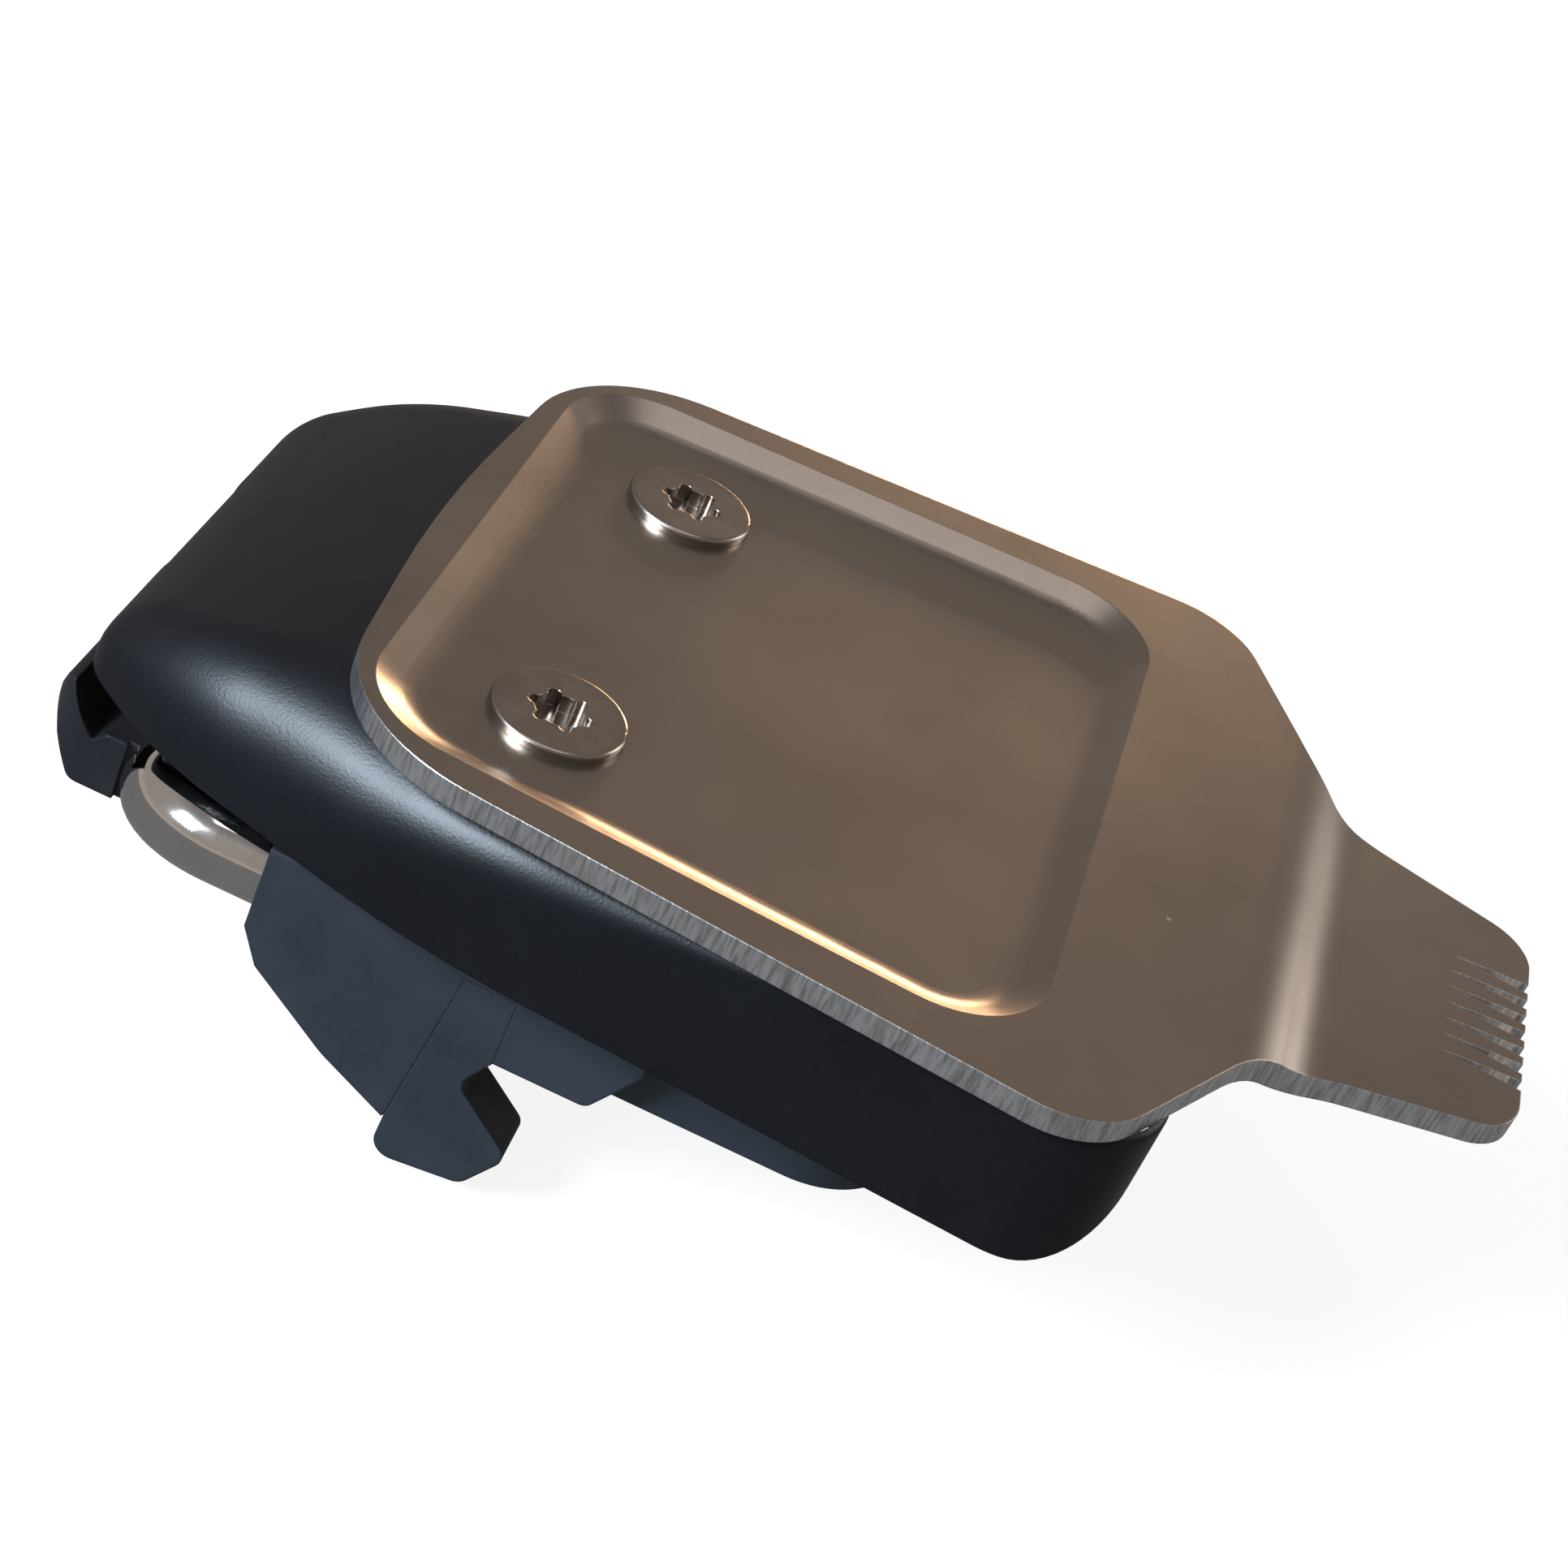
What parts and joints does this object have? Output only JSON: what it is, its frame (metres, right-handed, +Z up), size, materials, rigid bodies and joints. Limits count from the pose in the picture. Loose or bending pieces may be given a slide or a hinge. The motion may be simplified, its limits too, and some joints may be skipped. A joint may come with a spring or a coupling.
{
  "type": "cam cleat",
  "caption": "Lever cam cleat that grips a small line: a hinged black shell under a stamped steel thumb plate, with a toothed jaw, chrome rods and hooked feet.",
  "frame": {"origin": "on the deck face, midway between the two screws that hold the thumb plate", "axes": "+X along the line towards the thumb tongue, +Z up away from the deck"},
  "size_m": [0.0853, 0.0578, 0.028],
  "materials": {
    "satin_stainless": "satin, fine bead-blasted grain",
    "screw_steel": "machined stainless",
    "steel": "plain stainless",
    "chrome": "polished",
    "shell_black": "satin black anodised",
    "base_plastic": "moulded, blue-black",
    "foot_plastic": "moulded, black",
    "nose_plastic": "moulded, black",
    "brass": "turned",
    "rubber": "matt"
  },
  "bodies": {
    "base": {"base_frame": "base_plastic", "nose_fairlead": "nose_plastic", "nose_screws": "steel", "guard_rod_near": "chrome", "guard_rod_far": "chrome", "hook_foot_near": "foot_plastic", "hook_foot_far": "foot_plastic", "foot_screws": "steel", "bed_plate": "steel", "bed_screws": "steel", "pivot_pin_near": "steel", "pivot_pin_far": "steel", "pin_clips": "steel", "return_spring_near": "steel", "return_spring_far": "steel", "rest_bumpers": "rubber"},
    "lever": {"lever_shell": "shell_black", "thumb_plate": "satin_stainless", "plate_screws": "screw_steel", "plate_inserts": "brass", "knuckle_bushes": "brass", "cam_jaw": "steel", "cam_screws": "steel"}
  },
  "joints": [
    {"name": "lever_lift", "type": "hinge", "parent": "base", "child": "lever", "pos_m": [-0.019, 0, 0.0086], "axis": [0, -1, 0], "range_deg": [0, 35], "stiffness_Nm_per_rad": 0.1, "springref_deg": -28.65, "deforming": ["return_spring_near", "return_spring_far"]}
  ]
}
